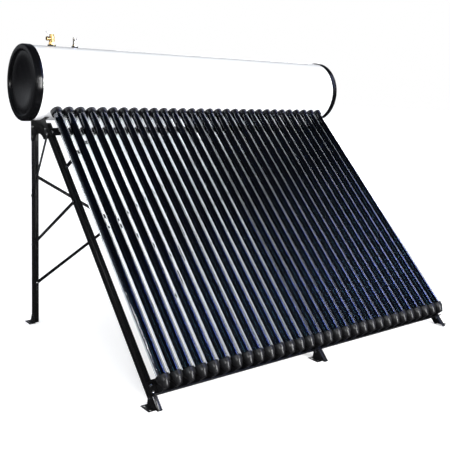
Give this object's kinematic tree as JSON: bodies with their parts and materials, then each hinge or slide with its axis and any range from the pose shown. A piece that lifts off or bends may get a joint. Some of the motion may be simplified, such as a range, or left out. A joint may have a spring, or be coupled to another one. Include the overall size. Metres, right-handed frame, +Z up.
{
  "type": "solar water heater",
  "caption": "Free-standing solar water heater: an insulated horizontal tank over a sloping bank of glass vacuum tubes, on a bolted black steel frame.",
  "frame": {"origin": "on the ground, under the middle of the heater's box", "axes": "+X along the tank with the relief valve at the -X end, -Y towards the sunny side that the tubes slope down to, +Z up"},
  "size_m": [2.484, 1.6541, 1.8315],
  "materials": {
    "casing_paint": "gloss white coil coating",
    "cap_plastic": "semi-gloss moulded black",
    "foam": "rigid polyurethane foam",
    "vessel_steel": "rolled stainless sheet",
    "anode_magnesium": "cast, dull",
    "valve_brass": "turned brass",
    "lever_steel": "pressed, satin",
    "stem_steel": "turned",
    "spring_steel": "drawn wire",
    "nipple_steel": "polished stainless",
    "seal_rubber": "moulded silicone rubber, matt",
    "tube_glass": "clear borosilicate",
    "absorber_coating": "dark blue-black selective coating on glass",
    "fin_aluminium": "rolled sheet",
    "pipe_copper": "drawn copper tube",
    "clip_steel": "spring strip",
    "cup_moulding": "moulded charcoal, matt",
    "frame_paint": "black powder coat",
    "bolt_steel": "bright zinc"
  },
  "bodies": {
    "heater": {"tank_casing": "casing_paint", "end_cap_left": "cap_plastic", "end_cap_right": "cap_plastic", "foam_insulation": "foam", "pressure_vessel": "vessel_steel", "magnesium_anode": "anode_magnesium", "relief_valve_body": "valve_brass", "relief_valve_spring": "spring_steel", "water_nipples": "nipple_steel", "rubber_seals": "seal_rubber", "absorber_tubes": "absorber_coating", "absorber_fins": "fin_aluminium", "heat_pipes": "pipe_copper", "tube_spring_clips": "clip_steel", "tail_cups": "cup_moulding", "tail_rail": "frame_paint", "upper_rail": "frame_paint", "front_leg_left": "frame_paint", "front_leg_middle": "frame_paint", "front_leg_right": "frame_paint", "rear_leg_left": "frame_paint", "rear_leg_middle": "frame_paint", "rear_leg_right": "frame_paint", "tank_saddles": "frame_paint", "side_braces": "frame_paint", "cross_braces": "frame_paint", "foot_brackets": "frame_paint", "frame_bolts": "bolt_steel", "vacuum_tube_01": "tube_glass", "vacuum_tube_02": "tube_glass", "vacuum_tube_03": "tube_glass", "vacuum_tube_04": "tube_glass", "vacuum_tube_05": "tube_glass", "vacuum_tube_06": "tube_glass", "vacuum_tube_07": "tube_glass", "vacuum_tube_08": "tube_glass", "vacuum_tube_09": "tube_glass", "vacuum_tube_10": "tube_glass", "vacuum_tube_11": "tube_glass", "vacuum_tube_12": "tube_glass", "vacuum_tube_13": "tube_glass", "vacuum_tube_14": "tube_glass", "vacuum_tube_15": "tube_glass", "vacuum_tube_16": "tube_glass", "vacuum_tube_17": "tube_glass", "vacuum_tube_18": "tube_glass", "vacuum_tube_19": "tube_glass", "vacuum_tube_20": "tube_glass", "vacuum_tube_21": "tube_glass", "vacuum_tube_22": "tube_glass", "vacuum_tube_23": "tube_glass", "vacuum_tube_24": "tube_glass", "vacuum_tube_25": "tube_glass", "vacuum_tube_26": "tube_glass", "vacuum_tube_27": "tube_glass", "vacuum_tube_28": "tube_glass", "vacuum_tube_29": "tube_glass", "vacuum_tube_30": "tube_glass"},
    "relief_stem": {"relief_valve_stem": "stem_steel"},
    "relief_lever": {"relief_valve_lever": "lever_steel"}
  },
  "joints": [
    {"name": "relief_stem_lift", "type": "slide", "parent": "heater", "child": "relief_stem", "axis": [0, 0, 1], "range_m": [0, 0.004], "stiffness_N_per_m": 800, "springref_m": -0.005, "deforming": ["relief_valve_spring"]},
    {"name": "relief_lever_hinge", "type": "hinge", "parent": "relief_stem", "child": "relief_lever", "pos_m": [-1.045, 0.59706, 1.823], "axis": [0, 1, 0], "range_deg": [0, 80]}
  ],
  "couplings": [
    {"joint": "relief_lever_hinge", "follows": "relief_stem_lift", "rad_per_m": 348}
  ]
}
